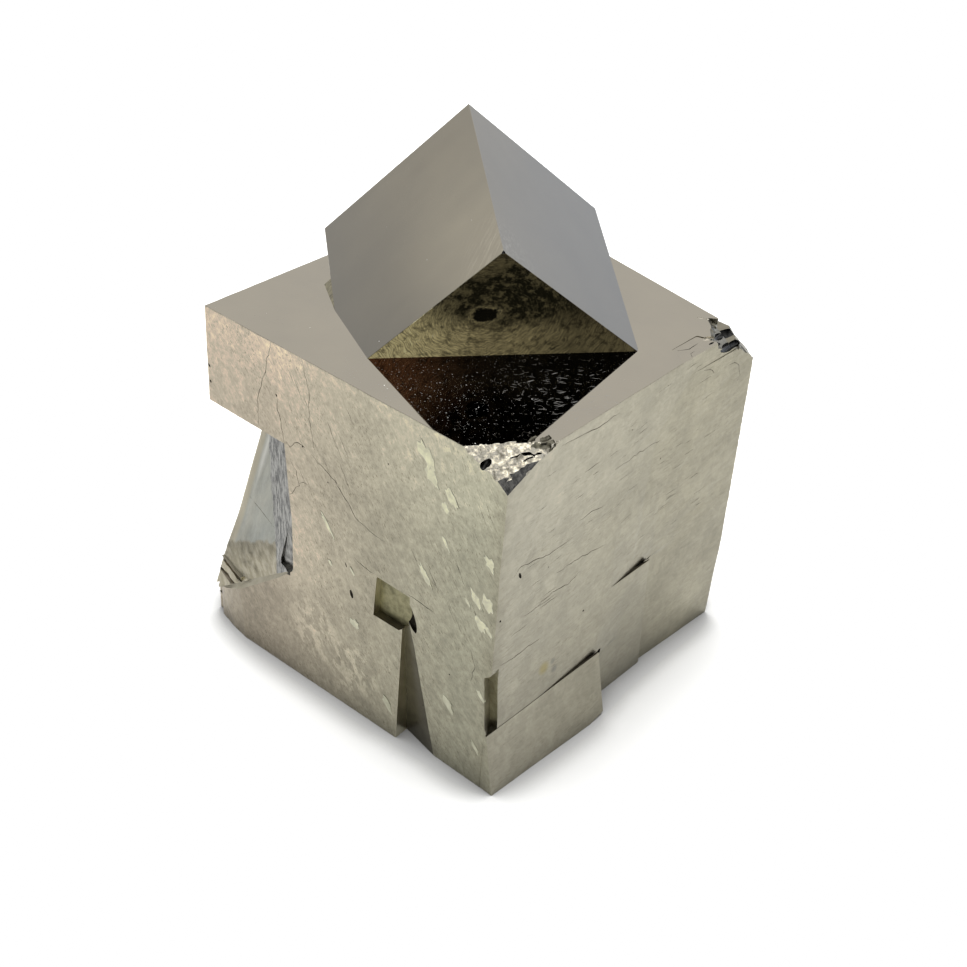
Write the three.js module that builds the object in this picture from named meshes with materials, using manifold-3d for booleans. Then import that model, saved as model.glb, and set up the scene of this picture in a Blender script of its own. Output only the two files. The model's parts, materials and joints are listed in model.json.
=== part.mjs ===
// A pyrite cluster: one large cube with stepped, slightly turned growth blocks on its sides,
// and a half-size cube grown through its top face, tipped up on a corner. It is one solid.
//
// Working frame, in millimetres: the large cube's front edge stands on X = 0, Y = 0, X runs
// away to the right, Y runs away to the left, and Z = 0 is the face it rests on.
// The finished solid is moved at the end, so that the middle of its base is the origin.
import * as THREE from 'three';
import { ConvexGeometry } from 'three/addons/geometries/ConvexGeometry.js';
import { mergeVertices } from 'three/addons/utils/BufferGeometryUtils.js';
import Module from 'manifold-3d';

// Large cube.
const EDGE = 40;
const TOP_INSET = 2.8; // how far the top face stops short of the right-hand corner
const TOP_TURN_Y = 19; // where the turned back edge of the top face runs straight again
const TOP_TURN_X = 40.8;
const FOOT_LEAN = 0.3; // how far the left face leans in at its foot

// Small cube, tipped up on a corner.
const TWIN_SIZE = [21.9, 21.2, 20.7];
const TWIN_CORNER = [11.3, 11.5, 52.9]; // its nearest corner
const TWIN_HEADING = 50.7; // degrees, the way its rising edges point, from X towards Y
const TWIN_PITCH = 15.6; // degrees that those edges climb
const TWIN_ROLL = -49.1; // degrees about those edges

// Right-hand flank: the stretch of the right face that turns and leans out past the top face.
const FLANK_X = 41;
const FLANK_START = 20; // where it leaves the large cube, still just under the surface
const FLANK_TOP = 37.8;
const FLANK_OUT = [0.5, 1.5]; // at its right-hand edge, high up and low down

// Middle plate of the right face.
const PLATE_X = [1.3, 19.3, 25.7]; // its left end, a bend, and its right end
const PLATE_OUT = [0.15, 0.2, 1];
const PLATE_TOP = [16.1, 15.8, 16.4];
const PLATE_LEAN = 2; // how far its right end runs out towards the base

// Foot block of the right face, and the set-back strip above it beside the front edge.
const FOOT_TOP = [7.6, 8.6];
const FOOT_END = 18;
const FOOT_OUT_TOP = [0.3, 1.45];
const FOOT_OUT_BASE = [1.7, 2.9];
const STRIP_TOP = 16.6;
const STRIP_DEPTH = [1, 0.6]; // against the plate, at its top and foot
const STRIP_TURN = [0.35, 0.33]; // millimetres deeper for each millimetre to the right

// How far the dark gaps behind the plate and the foot block run in.
const GAP_DEPTH = 1.1;

// Left block, low on the left face.
const BLOCK_TOP = 19.4;
const BLOCK_RIGHT = [11.5, 10.9]; // its right-hand wall, at the top and at the base
const BLOCK_OUT = [0.65, 1.28]; // at its right and left end, at the base
const WALL_CUT = 0.9; // how deep its right-hand wall runs into the face
const NOTCH_DEPTH = 0.7;

// Slab left standing over a turned facet, at the back of the left face.
const SLAB_BOTTOM = 28.8;
const SLAB_START = 28.6; // where the recess begins, from the front edge
const RECESS_LEAN = 0.39; // millimetres deeper for each millimetre up
const RECESS_TURN = 0.3; // millimetres deeper for each millimetre towards the back
const RECESS_FOOT = 3.3; // height where it comes out at the back corner

// Thin ledges below the recess.
const LEDGE_HEIGHTS = [7.5, 6.1, 4.4, 2.6];
const LEDGE_THICK = 0.8;
const LEDGE_START = 35.4; // their right-hand ends, from the front edge

// Hidden sides: growth plates a little proud of the back faces.
const BACK_STEP = 0.9;

const wasm = await Module();
wasm.setup();

// A three.js geometry as a closed solid.
function solid(geometry) {
  geometry.deleteAttribute('normal');
  geometry.deleteAttribute('uv');
  const welded = mergeVertices(geometry, 1e-4);
  return new wasm.Manifold(new wasm.Mesh({
    numProp: 3,
    vertProperties: new Float32Array(welded.attributes.position.array),
    triVerts: new Uint32Array(welded.index.array),
  }));
}

// A flat-faced block, from its corners.
function block(...corners) {
  return solid(new ConvexGeometry(corners.map((corner) => new THREE.Vector3(...corner))));
}

// The waste side of a flat break through three points. Seen from the waste side they run
// anticlockwise. The break is spread past the points, so that it cuts right through an edge.
function waste(spread, depth, ...points) {
  const [a, b, c] = points.map((point) => new THREE.Vector3(...point));
  const centre = a.clone().add(b).add(c).divideScalar(3);
  const outward = b.clone().sub(a).cross(c.clone().sub(a)).normalize();
  const near = [a, b, c].map((point) => point.sub(centre).multiplyScalar(spread).add(centre));
  const far = near.map((point) => point.clone().addScaledVector(outward, depth));
  return solid(new ConvexGeometry([...near, ...far]));
}

// Where the large cube's left face lies at a height.
function leftFace(z) {
  return FOOT_LEAN * (1 - z / EDGE);
}

// The large cube. Its top face stops short on the right, and its back edge is turned.
function largeCube() {
  const right = EDGE - TOP_INSET;
  return block(
    [0, 0, EDGE], [right, 0, EDGE], [TOP_TURN_X, TOP_TURN_Y, EDGE],
    [TOP_TURN_X, EDGE, EDGE], [0, EDGE, EDGE],
    [FOOT_LEAN, 0, 0], [EDGE, 0, 0], [EDGE, EDGE, 0], [FOOT_LEAN, EDGE, 0],
  );
}

// The small cube, from its nearest corner.
function smallCube() {
  const [rise, left, right] = TWIN_SIZE;
  const geometry = new THREE.BoxGeometry(rise, left, right);
  geometry.translate(rise / 2, left / 2, -right / 2);
  const turn = new THREE.Euler(
    THREE.MathUtils.degToRad(TWIN_ROLL),
    THREE.MathUtils.degToRad(-TWIN_PITCH),
    THREE.MathUtils.degToRad(TWIN_HEADING),
    'ZYX',
  );
  geometry.applyMatrix4(new THREE.Matrix4().makeRotationFromEuler(turn));
  geometry.translate(...TWIN_CORNER);
  return solid(geometry);
}

// The leaning flank at the right, with a ledge along the hidden side above it.
function rightFlank() {
  const back = EDGE - 3;
  const [outHigh, outLow] = FLANK_OUT;
  return block(
    [FLANK_START, 0.4, FLANK_TOP], [FLANK_X, -outHigh, FLANK_TOP], [FLANK_X, -outLow, 12],
    [FLANK_X, -outLow, 0], [FLANK_START, 0.1, 0],
    [FLANK_START, back, FLANK_TOP], [FLANK_X, back, FLANK_TOP], [FLANK_START, back, 0], [FLANK_X, back, 0],
  );
}

// The middle plate of the right face: flush at its left, proud at its right end.
function middlePlate() {
  const [left, bend, right] = PLATE_X;
  const [outLeft, outBend, outRight] = PLATE_OUT;
  const [topLeft, topBend, topRight] = PLATE_TOP;
  const inside = 4;
  return block(
    [left, -outLeft, topLeft], [bend, -outBend, topBend], [right, -outRight, topRight],
    [left + 1, -outLeft, 0], [bend, -0.55, 0], [right + PLATE_LEAN, -0.85, 0],
    [left, inside, topLeft], [right, inside, topRight],
    [left + 1, inside, 0], [right + PLATE_LEAN, inside, 0],
  );
}

// The gap behind the proud end of the middle plate's upper edge.
function plateGap() {
  const [, bend, right] = PLATE_X;
  const [, outBend, outRight] = PLATE_OUT;
  const [, topBend, topRight] = PLATE_TOP;
  return block(
    [bend, -outBend, topBend], [right + 1, -outRight, topRight], [right + 1, -outRight, topRight + 0.6],
    [right + 0.6, 0, topBend], [right + 0.6, GAP_DEPTH, topBend - GAP_DEPTH],
    [right + 1, GAP_DEPTH, topBend - 1.5 * GAP_DEPTH],
  );
}

// The foot block leans out below the middle plate, and ends in a small chamfer.
function footBlock() {
  const inside = 5;
  return block(
    [leftFace(FOOT_TOP[0]), -FOOT_OUT_TOP[0], FOOT_TOP[0]], [FOOT_END - 0.6, -FOOT_OUT_TOP[1], FOOT_TOP[1]],
    [FOOT_LEAN, -FOOT_OUT_BASE[0], 0], [FOOT_END - 2.4, -FOOT_OUT_BASE[1], 0],
    [FOOT_END, -FOOT_OUT_BASE[1], 0.4],
    [FOOT_END, -FOOT_OUT_BASE[1] + 0.4, 0],
    [0.4, inside, FOOT_TOP[0]], [FOOT_END - 0.6, inside, FOOT_TOP[1]],
    [0.45, inside, 0], [FOOT_END, inside, 0],
  );
}

// The gap behind the proud end of the foot block's upper edge.
function footGap() {
  const end = FOOT_END - 0.6;
  const [, outTop] = FOOT_OUT_TOP;
  const [, top] = FOOT_TOP;
  return block(
    [10.6, -0.4, 7.4], [end + 1, -outTop, top], [end + 1, -outTop, top + 0.6],
    [end + 1, -0.2, top - 1], [end + 1, GAP_DEPTH, top - 1.2 - GAP_DEPTH], [end + 1, GAP_DEPTH, top - 3],
  );
}

// The set-back strip beside the front edge, left of the middle plate.
function frontStrip() {
  const [left] = PLATE_X;
  const [depthTop, depthFoot] = STRIP_DEPTH;
  const [turnTop, turnFoot] = STRIP_TURN;
  const foot = FOOT_TOP[0] - 0.2;
  return block(
    [-1, depthTop - turnTop * (left + 1), STRIP_TOP - 1.4], [left, depthTop, STRIP_TOP - 1.6],
    [-1, depthFoot - turnFoot * (left + 2), foot], [left + 1, depthFoot, foot - 0.2],
    [-1, -2, STRIP_TOP + 0.4], [left, -2, STRIP_TOP + 0.2], [-1, -2, foot], [left + 1, -2, foot - 0.2],
  );
}

// The left block is flush at its top and leans out towards its base.
function leftBlock() {
  const [wallTop, wallBase] = BLOCK_RIGHT;
  const [outRight, outLeft] = BLOCK_OUT;
  const inside = 4;
  const flush = leftFace(BLOCK_TOP);
  return block(
    [flush, wallTop, BLOCK_TOP], [flush, EDGE - 2, BLOCK_TOP],
    [-outRight, wallBase, 0], [-outLeft, 33.9, 0], [-0.9, 36.4, 0], [-0.35, 38.8, 0], [0.1, EDGE - 0.5, 4],
    [inside, wallTop, BLOCK_TOP], [inside, EDGE - 2, BLOCK_TOP],
    [inside, wallBase, 0], [inside, EDGE - 0.5, 0],
  );
}

// The shallow facet beside the left block's wall: deepest at the wall, running out to the right.
function wallFacet() {
  const [wallTop, wallBase] = BLOCK_RIGHT;
  return block(
    [-2, wallTop, BLOCK_TOP], [-2, wallBase, -1], [-2, 6, -1],
    [leftFace(BLOCK_TOP), wallTop, BLOCK_TOP], [FOOT_LEAN, 6, -1], [WALL_CUT + FOOT_LEAN, wallBase, -1],
  );
}

// The square notch in the left block's upper right corner.
function cornerNotch() {
  const [wall] = BLOCK_RIGHT;
  const top = BLOCK_TOP - 0.2;
  return block(
    [NOTCH_DEPTH, wall - 0.8, 15.4], [NOTCH_DEPTH, wall + 0.3, 14.4], [NOTCH_DEPTH, 15.2, 14.4],
    [NOTCH_DEPTH, 15.2, top], [NOTCH_DEPTH, wall - 0.8, top],
    [-2, wall - 0.8, 15.4], [-2, wall + 0.3, 14.2], [-2, 15.3, 14.2], [-2, 15.3, top],
    [-2, wall - 0.8, top],
  );
}

// The recess under the slab. Its floor is one facet, deeper upwards and towards the back.
function recess() {
  const back = EDGE + 1;
  const depth = (y, z) => RECESS_TURN * (y - EDGE) + RECESS_LEAN * (z - RECESS_FOOT);
  const floorHeight = (y) => RECESS_FOOT + (RECESS_TURN * (EDGE - y)) / RECESS_LEAN;
  const right = SLAB_START - 1.6;
  return block(
    [-3, SLAB_START, SLAB_BOTTOM], [depth(SLAB_START, SLAB_BOTTOM), SLAB_START, SLAB_BOTTOM],
    [-3, back, SLAB_BOTTOM], [depth(back, SLAB_BOTTOM), back, SLAB_BOTTOM],
    [-3, right, floorHeight(right)], [0, right, floorHeight(right)],
    [-3, back, floorHeight(back) - 3], [0, back, floorHeight(back)],
  );
}

// A deeper channel down the right-hand side of the recess.
function recessChannel() {
  const top = SLAB_BOTTOM - 5;
  const foot = 12.4;
  return block(
    [-3, SLAB_START, top], [4.6, SLAB_START + 0.2, top], [4.4, SLAB_START + 2.2, top],
    [-3, 27.4, foot], [0.9, 27.4, foot], [0.9, 30, foot],
  );
}

// One of the thin ledges stacked at the back corner below the recess.
function backLedge(height) {
  const start = -1.05 + 0.07 * height;
  const corner = -0.15 + 0.13 * height;
  const end = EDGE + 0.05;
  const low = height - LEDGE_THICK;
  return block(
    [start, LEDGE_START, height], [corner, end, height - 0.2],
    [3, end, height - 0.2], [3, LEDGE_START, height],
    [start + 0.25, LEDGE_START, low], [corner + 0.3, end - 0.3, low],
    [3, end - 0.3, low], [3, LEDGE_START, low],
  );
}

// The broken front corner: one wide break with a steeper facet at its lower tip.
function frontBreaks() {
  const wide = waste(1.7, 5, [0, 5.4, 40], [0, 0.3, 38.1], [6.9, 0, 40]);
  const tip = waste(1.5, 4, [0, 1.6, 38.6], [0, 0, 37.4], [3.6, 0, 38.9]);
  return [wide, tip];
}

// The broken right-hand corner of the top face, with a thin shell lifted off beside it.
function rightBreaks() {
  const shell = block(
    [26.4, -1, 39.8], [28.4, 2.3, 39.85], [32.8, 2.3, 39.6], [34, -1, 39.2],
    [26.4, -1, 41], [28.4, 2.3, 41], [32.8, 2.3, 41], [34, -1, 41],
  );
  const corner = block(
    [31.6, -1.5, 39.4], [33.8, -1.5, 38.2], [38.2, -1.5, 37.5], [44, -1.5, 36.4], [44, 6, 38],
    [37.4, 2.8, 39.2], [33.4, 0.6, 39.6],
    [31.6, -1.5, 42], [44, -1.5, 42], [44, 6, 42], [37.4, 2.8, 42], [33.4, 0.6, 42],
  );
  const shoulder = waste(2, 4, [FLANK_X, 3.2, 38], [38.5, -0.4, 37.4], [FLANK_X, -0.6, 35.4]);
  return [shell, corner, shoulder];
}

// Growth plates on the two hidden sides, each a little turned, as those in front are.
function backPlates() {
  const behind = EDGE - 3;
  const corner = FLANK_X + 0.2;
  const wide = block(
    [9, EDGE, 26.2], [corner, EDGE + BACK_STEP, 25.2], [corner, EDGE + BACK_STEP + 0.3, 0], [7, EDGE, 0],
    [9, behind, 26.2], [corner, behind, 25.2], [corner, behind, 0], [7, behind, 0],
  );
  const low = block(
    [20, EDGE + 0.5, 10.9], [37.5, EDGE + 2 * BACK_STEP, 10.3],
    [37.8, EDGE + 2 * BACK_STEP + 0.2, 0], [19.4, EDGE + 0.8, 0],
    [20, behind, 10.9], [37.5, behind, 10.3], [37.8, behind, 0], [19.4, behind, 0],
  );
  const upper = block(
    [24, EDGE, EDGE], [TOP_TURN_X, EDGE + 0.5, EDGE], [TOP_TURN_X, EDGE + 0.4, 31.6], [25.5, EDGE, 32.4],
    [24, behind, EDGE], [TOP_TURN_X, behind, EDGE], [TOP_TURN_X, behind, 31.6], [25.5, behind, 32.4],
  );
  const side = block(
    [FLANK_X, 9, 21.6], [FLANK_X + BACK_STEP, EDGE + 0.6, 22.6],
    [FLANK_X + BACK_STEP + 0.3, EDGE + 0.6, 0], [FLANK_X, 7.4, 0],
    [behind, 9, 21.6], [behind, EDGE + 0.6, 22.6], [behind, EDGE + 0.6, 0], [behind, 7.4, 0],
  );
  const shelf = block(
    [FLANK_X, 17, 36], [FLANK_X + 0.6, 33, 36.4], [FLANK_X + 0.7, 33, 28.2], [FLANK_X, 16, 28],
    [behind, 17, 36], [behind, 33, 36.4], [behind, 33, 28.2], [behind, 16, 28],
  );
  return [wide, low, upper, side, shelf];
}

function pyriteCluster() {
  let body = largeCube().add(rightFlank());
  body = body.subtract(frontStrip()).add(middlePlate()).add(footBlock()).add(leftBlock());
  for (const plate of backPlates()) {
    body = body.add(plate);
  }
  for (const cut of [plateGap(), footGap(), wallFacet(), cornerNotch(), recess(), recessChannel()]) {
    body = body.subtract(cut);
  }
  for (const height of LEDGE_HEIGHTS) {
    body = body.add(backLedge(height));
  }
  for (const cut of [...frontBreaks(), ...rightBreaks()]) {
    body = body.subtract(cut);
  }
  return body.add(smallCube());
}

function meshGeometry(manifold) {
  const mesh = manifold.getMesh();
  const geometry = new THREE.BufferGeometry();
  geometry.setAttribute('position', new THREE.BufferAttribute(new Float32Array(mesh.vertProperties), 3));
  geometry.setIndex(new THREE.BufferAttribute(new Uint32Array(mesh.triVerts), 1));
  geometry.computeVertexNormals();
  return geometry;
}

const geometry = meshGeometry(pyriteCluster());
geometry.computeBoundingBox();
const middle = geometry.boundingBox.getCenter(new THREE.Vector3());
geometry.translate(-middle.x, -middle.y, -geometry.boundingBox.min.z);

const pyrite = new THREE.MeshStandardMaterial({ color: 0xb9b09a, roughness: 0.3, metalness: 1 });
const cluster = new THREE.Mesh(geometry, pyrite);
cluster.name = 'pyrite_cluster';

const group = new THREE.Group();
group.add(cluster);

export default group;
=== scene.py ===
# %% [markdown]
# # A pyrite cube cluster
# Pyrite grows as cubes with metal-bright faces. This specimen is one large cube, 40 mm along its
# edge, and a half-size cube that grew through its top, tipped up on a corner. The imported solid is
# loaded first: it gives every size and place, and the finished crystals are built over it.

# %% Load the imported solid
import json
import random
from math import cos, degrees, exp, pi, radians, sin, sqrt

import bmesh
import bpy
from mathutils import Matrix, Vector, noise

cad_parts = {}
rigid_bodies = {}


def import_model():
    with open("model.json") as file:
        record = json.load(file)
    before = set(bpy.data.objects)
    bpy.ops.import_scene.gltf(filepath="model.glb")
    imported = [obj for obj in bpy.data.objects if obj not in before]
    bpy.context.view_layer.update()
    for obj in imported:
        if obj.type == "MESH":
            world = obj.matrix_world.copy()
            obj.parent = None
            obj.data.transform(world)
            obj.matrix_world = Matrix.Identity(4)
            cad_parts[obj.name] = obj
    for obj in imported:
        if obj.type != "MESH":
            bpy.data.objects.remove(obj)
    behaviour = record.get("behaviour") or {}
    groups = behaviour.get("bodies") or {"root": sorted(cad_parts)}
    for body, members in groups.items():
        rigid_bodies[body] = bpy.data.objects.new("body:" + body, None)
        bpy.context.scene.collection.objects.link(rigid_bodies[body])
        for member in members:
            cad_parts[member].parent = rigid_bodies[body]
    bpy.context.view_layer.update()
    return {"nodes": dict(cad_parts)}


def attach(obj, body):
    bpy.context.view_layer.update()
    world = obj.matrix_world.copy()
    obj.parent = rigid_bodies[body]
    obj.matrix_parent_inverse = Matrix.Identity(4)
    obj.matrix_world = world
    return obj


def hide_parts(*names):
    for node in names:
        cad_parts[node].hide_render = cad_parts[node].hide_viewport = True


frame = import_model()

# %% [markdown]
# Everything below is measured in millimetres from the foot of the large cube's front edge: X runs
# away to the right, Y runs away to the left and Z is up. The foot is found on the solid, straight
# below the nearest corner of the top face's rim.

# %% Millimetres from the foot of the front edge
MM = 0.001
EDGE = 40
solid = frame["nodes"]["pyrite_cluster"]
rim = [v.co for v in solid.data.vertices if abs(v.co.z - EDGE * MM) < MM / 100]
FOOT = Vector((min(p.x for p in rim), min(p.y for p in rim), 0))


def at(x, y, z):
    """A place in the row frame, in metres, from millimetres off the foot of the front edge."""
    return FOOT + Vector((x, y, z)) * MM


def off_foot(point):
    """The other way: a point in metres as millimetres off the foot of the front edge."""
    return (point - FOOT) / MM


print("foot of the front edge:", [round(c, 5) for c in FOOT])

# %% [markdown]
# The camera stands in front of the front edge and looks down on it, with a small roll. It is made
# from plain turns, so that each number says something: a heading, a tilt and a roll.

# %% Camera
CAMERA_PLACE = (-78.39, -57.23, 107.44)
CAMERA_HEADING = 52.58
CAMERA_TILT = -35.39
CAMERA_ROLL = 5.22
LENS = 51.04
SENSOR = 36


def turned(angle, axis):
    return Matrix.Rotation(radians(angle), 4, axis)


def new_object(name, data):
    thing = bpy.data.objects.new(name, data)
    bpy.context.scene.collection.objects.link(thing)
    return thing


def make_camera():
    camera = new_object("camera", bpy.data.cameras.new("camera"))
    aim = turned(-CAMERA_HEADING, "Z") @ turned(90 + CAMERA_TILT, "X") @ turned(CAMERA_ROLL, "Z")
    camera.matrix_world = Matrix.Translation(at(*CAMERA_PLACE)) @ aim
    camera.data.sensor_width = SENSOR
    camera.data.lens = LENS
    camera.data.clip_start = MM
    bpy.context.scene.camera = camera
    return camera


camera = make_camera()
print("camera, mm off the foot:", [round(c, 2) for c in off_foot(camera.matrix_world.translation)])

# %% [markdown]
# The finishes are built from nodes. These helpers make a node, set or link its sockets, and draw
# the patterns that all the finishes share. Each pattern is sized in millimetres and reads the
# object's own coordinates, so that it stays put. A colour is given as red, green and blue. A
# socket's id_data is the tree it belongs to.

# %% Node helpers


def plug(made, **sockets):
    """Sets or links a node's sockets, named by their labels, or i0, i1 ... by their places."""
    for name, value in sockets.items():
        by_place = name[0] == "i" and name[1:].isdigit()
        socket = made.inputs[int(name[1:])] if by_place else made.inputs[name.replace("_", " ")]
        if isinstance(value, bpy.types.NodeSocket):
            made.id_data.links.new(value, socket)
        else:
            socket.default_value = value


def node(tree, kind, settings=None, **sockets):
    made = tree.nodes.new("ShaderNode" + kind)
    for name, value in (settings or {}).items():
        setattr(made, name, value)
    plug(made, **sockets)
    return made


def spread(tree, size=1, turn=(0, 0, 0), middle=(0, 0, 0)):
    """Object coordinates in units of one size or three, in mm, turned by degrees round a middle."""
    sides = [size] * 3 if isinstance(size, (int, float)) else size
    return node(
        tree, "Mapping", {"vector_type": "TEXTURE"}, Vector=node(tree, "TexCoord").outputs["Object"],
        Location=at(*middle), Rotation=[radians(angle) for angle in turn],
        Scale=[side * MM for side in sides],
    ).outputs["Vector"]


def grain(tree, size, turn=(0, 0, 0), detail=3, rough=0.55, distortion=0.0):
    """Noise whose lumps are size mm across, turned by degrees."""
    return node(
        tree, "TexNoise", Vector=spread(tree, size, turn), Scale=1, Detail=detail,
        Roughness=rough, Distortion=distortion,
    ).outputs["Fac"]


def ramp(value, low, high, out_low=0.0, out_high=1.0):
    """Stretches a value from low..high to out_low..out_high, and stops there."""
    sockets = {"i0": value, "i1": low, "i2": high, "i3": out_low, "i4": out_high}
    return node(value.id_data, "MapRange", **sockets).outputs["Result"]


def math_node(tree, operation, first, second=0.0, third=0.0):
    return node(tree, "Math", {"operation": operation}, i0=first, i1=second, i2=third).outputs[0]


def times(first, second):
    return math_node(first.id_data, "MULTIPLY", first, second)


def most(first, second):
    return math_node(first.id_data, "MAXIMUM", first, second)


def apart(value, level):
    """How far a value is from a level, either way."""
    tree = value.id_data
    return math_node(tree, "ABSOLUTE", math_node(tree, "SUBTRACT", value, level))


def off_foot_mm(tree):
    """Where a point lies off the foot, in millimetres, as the three outputs X, Y and Z."""
    return node(tree, "SeparateXYZ", Vector=spread(tree)).outputs


def mix(tree, share, first, second, blend="MIX"):
    """Two colours, or outputs that give one, mixed by a share."""
    first, second = [(*tone, 1) if isinstance(tone, tuple) else tone for tone in (first, second)]
    kind = {"data_type": "RGBA", "blend_type": blend}
    return node(tree, "Mix", kind, i0=share, i6=first, i7=second).outputs[2]


def shaded(tone, gain):
    """A colour made lighter or darker."""
    kind = {"operation": "SCALE"}
    return node(tone.id_data, "VectorMath", kind, i0=tone, Scale=gain).outputs["Vector"]


def contour(value, level, width):
    """1 on a thin line where a pattern passes a level, and 0 off it."""
    return math_node(value.id_data, "LESS_THAN", apart(value, level), width)


def bump(height, depth, under=None):
    """A relief of depth mm for a height of 0..1, laid over the relief under it."""
    made = node(height.id_data, "Bump", Strength=1.0, Distance=depth * MM, Height=height)
    if under:
        plug(made, Normal=under)
    return made.outputs["Normal"]


def new_metal(name):
    material = bpy.data.materials.new(name)
    material.use_nodes = True
    tree = material.node_tree
    shader = tree.nodes["Principled BSDF"]
    plug(shader, Metallic=1)
    return material, tree, shader


# %% [markdown]
# Clean pyrite is a pale brassy grey, and its reflection carries that tint. Where it has lain open
# to the air it tarnishes to olive and brown. Most of the finishes share these few tones.

# %% Tones
BRASS_GREY = (0.56, 0.51, 0.415)
HAZE = (0.53, 0.485, 0.4)
DULL_BRASS = (0.43, 0.395, 0.305)
PINKISH = (0.475, 0.415, 0.32)
GREENISH = (0.415, 0.4, 0.3)
TARNISH = (0.33, 0.3, 0.22)
BROWN = (0.16, 0.14, 0.095)
DUST = (0.28, 0.273, 0.26)
SPARK = (0.9, 0.9, 0.86)
SCRATCH = (0.75, 0.69, 0.57)

# %% [markdown]
# The top of the large cube and the sides of the small one are mirrors. A bare mirror looks unreal,
# so a breath of haze changes its tone and gloss, and dust lies on it: pale grains, a few bright
# sparks and short fibres. The grains are discs round the points of a Voronoi pattern, and the
# fibres are the same in long thin cells. Dust isn't metal: it looks the same from all sides, so it
# shows best where the mirror is dark. Most of it lies at the foot of the small cube, and that
# cube's front corner is finely scratched.

# %% Mirror faces
DUSTY = (5, 13, EDGE)
LINTY = (13.5, 5, EDGE)
HAIR_HEADINGS = (-58, -15)
HAIR_CELL = (1.5, 0.09, 0.09)
SCRATCHED = (11.5, 11.6, 52.9)
SCRATCH_TURN = (-6, 47, 0)


def length(vector):
    return node(vector.id_data, "VectorMath", {"operation": "LENGTH"}, i0=vector).outputs["Value"]


def near(tree, middle, inner, outer, far=0.0, close=1.0):
    """One value within inner mm of a place, turning to another at outer mm."""
    return ramp(length(spread(tree, middle=middle)), inner, outer, close, far)


def grains(tree, size, share, radius, amount, turn=(0, 0, 0)):
    """Grains in a share of the cells of a Voronoi pattern. Cells are size mm, radius is in cells."""
    points = node(tree, "TexVoronoi", Vector=spread(tree, size, turn), Scale=1)
    luck = node(tree, "SeparateColor", Color=points.outputs["Color"]).outputs["Red"]
    reach = times(ramp(luck, 1 - share, 1, 0, radius), amount)
    return math_node(tree, "LESS_THAN", points.outputs["Distance"], reach)


def lint(tree, amount):
    """Short straight fibres lying two ways, and a few curls."""
    hairs = [grains(tree, HAIR_CELL, 0.35, 0.3, amount, (0, 0, heading)) for heading in HAIR_HEADINGS]
    curls = contour(grain(tree, 1.4, detail=1), 0.5, 0.003)
    some = ramp(grain(tree, 1.2, detail=1), 0.57, 0.6)
    return most(most(*hairs), times(times(curls, some), amount))


def mirror_finish(name, dull, dusty, linty):
    material, tree, shader = new_metal(name)
    cloud = grain(tree, 8, detail=4)
    smear = grain(tree, (1.2, 9, 9), (20, 30, 0))
    tone = mix(tree, ramp(cloud, 0.35, 0.65), HAZE, BRASS_GREY)
    scratch = ramp(grain(tree, (0.3, 0.3, 3), SCRATCH_TURN, detail=4, rough=0.7), 0.48, 0.7)
    tone = mix(tree, times(scratch, near(tree, SCRATCHED, 1, 6)), tone, SCRATCH)
    gloss = ramp(smear, 0.3, 0.7, dull * 0.7, dull * 1.3)
    heap = times(near(tree, DUSTY, 4, 14, 0.5), dusty)
    fine = grains(tree, 0.2, 0.5, 0.26, heap)
    coarse = grains(tree, 0.5, 0.4, 0.16, heap)
    strands = lint(tree, times(near(tree, LINTY, 3, 9, 0.1), linty))
    sparks = grains(tree, 1.2, 0.5, 0.07, near(tree, DUSTY, 6, 18, 0.35))
    dust = most(most(most(fine, coarse), strands), sparks)
    tone = mix(tree, dust, tone, mix(tree, sparks, DUST, SPARK))
    bare = math_node(tree, "SUBTRACT", 1, dust)
    plug(shader, Base_Color=tone, Metallic=bare, Roughness=most(gloss, dust))
    return material


# %% [markdown]
# The sides grew unevenly. Each changes tone slowly from edge to edge, is mottled, and is crossed by
# short dark strokes that all run one way. Each is also painted darker towards its foot and lighter
# towards its top: a painted reflection of the shaded floor close to the crystals. The strokes are a
# stretched noise; a broad noise decides where they crowd together, and a shallow relief follows
# them, so that colour and shine agree. A stain and broad patches of painted light and painted
# shade are lighter or darker than the rest, a brown band is painted along the front edge, pale
# blots lie in a row low on the left side, and three small spots of rust and grey on the right side.

# %% Side faces
LEFT_TURN = (-38, 0, 0)
RIGHT_TURN = (0, -6, 0)
LEFT_STROKES = (1, 0.3, 1.1)
RIGHT_STROKES = (2.2, 1, 0.34)
SIDE_DULL = 0.28
# Middle, inner and outer reach in mm, and how much lighter or darker. The first is a stain;
# the others are painted light and painted shade.
STAIN_AND_PAINTED_LIGHT_PATCHES = (
    ((0, 33, 5), 1, 10, 0.8), ((0, 26, 18), 2, 9, 1.2), ((0, 19, 37), 1, 7, 0.83),
    ((34, -1, 3), 2, 8, 1.35),
)
BLOTS = ((0, 23.5, 7.5), (0, 17.5, 5.5))
SPOTS = (
    ((8.5, -0.75, 11.7), 0.95, (0.33, 0.28, 0.12)),
    ((10.2, -0.75, 10.6), 0.6, (0.2, 0.195, 0.17)),
    ((9.9, -0.75, 11.8), 0.5, (0.22, 0.215, 0.18)),
)


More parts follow.
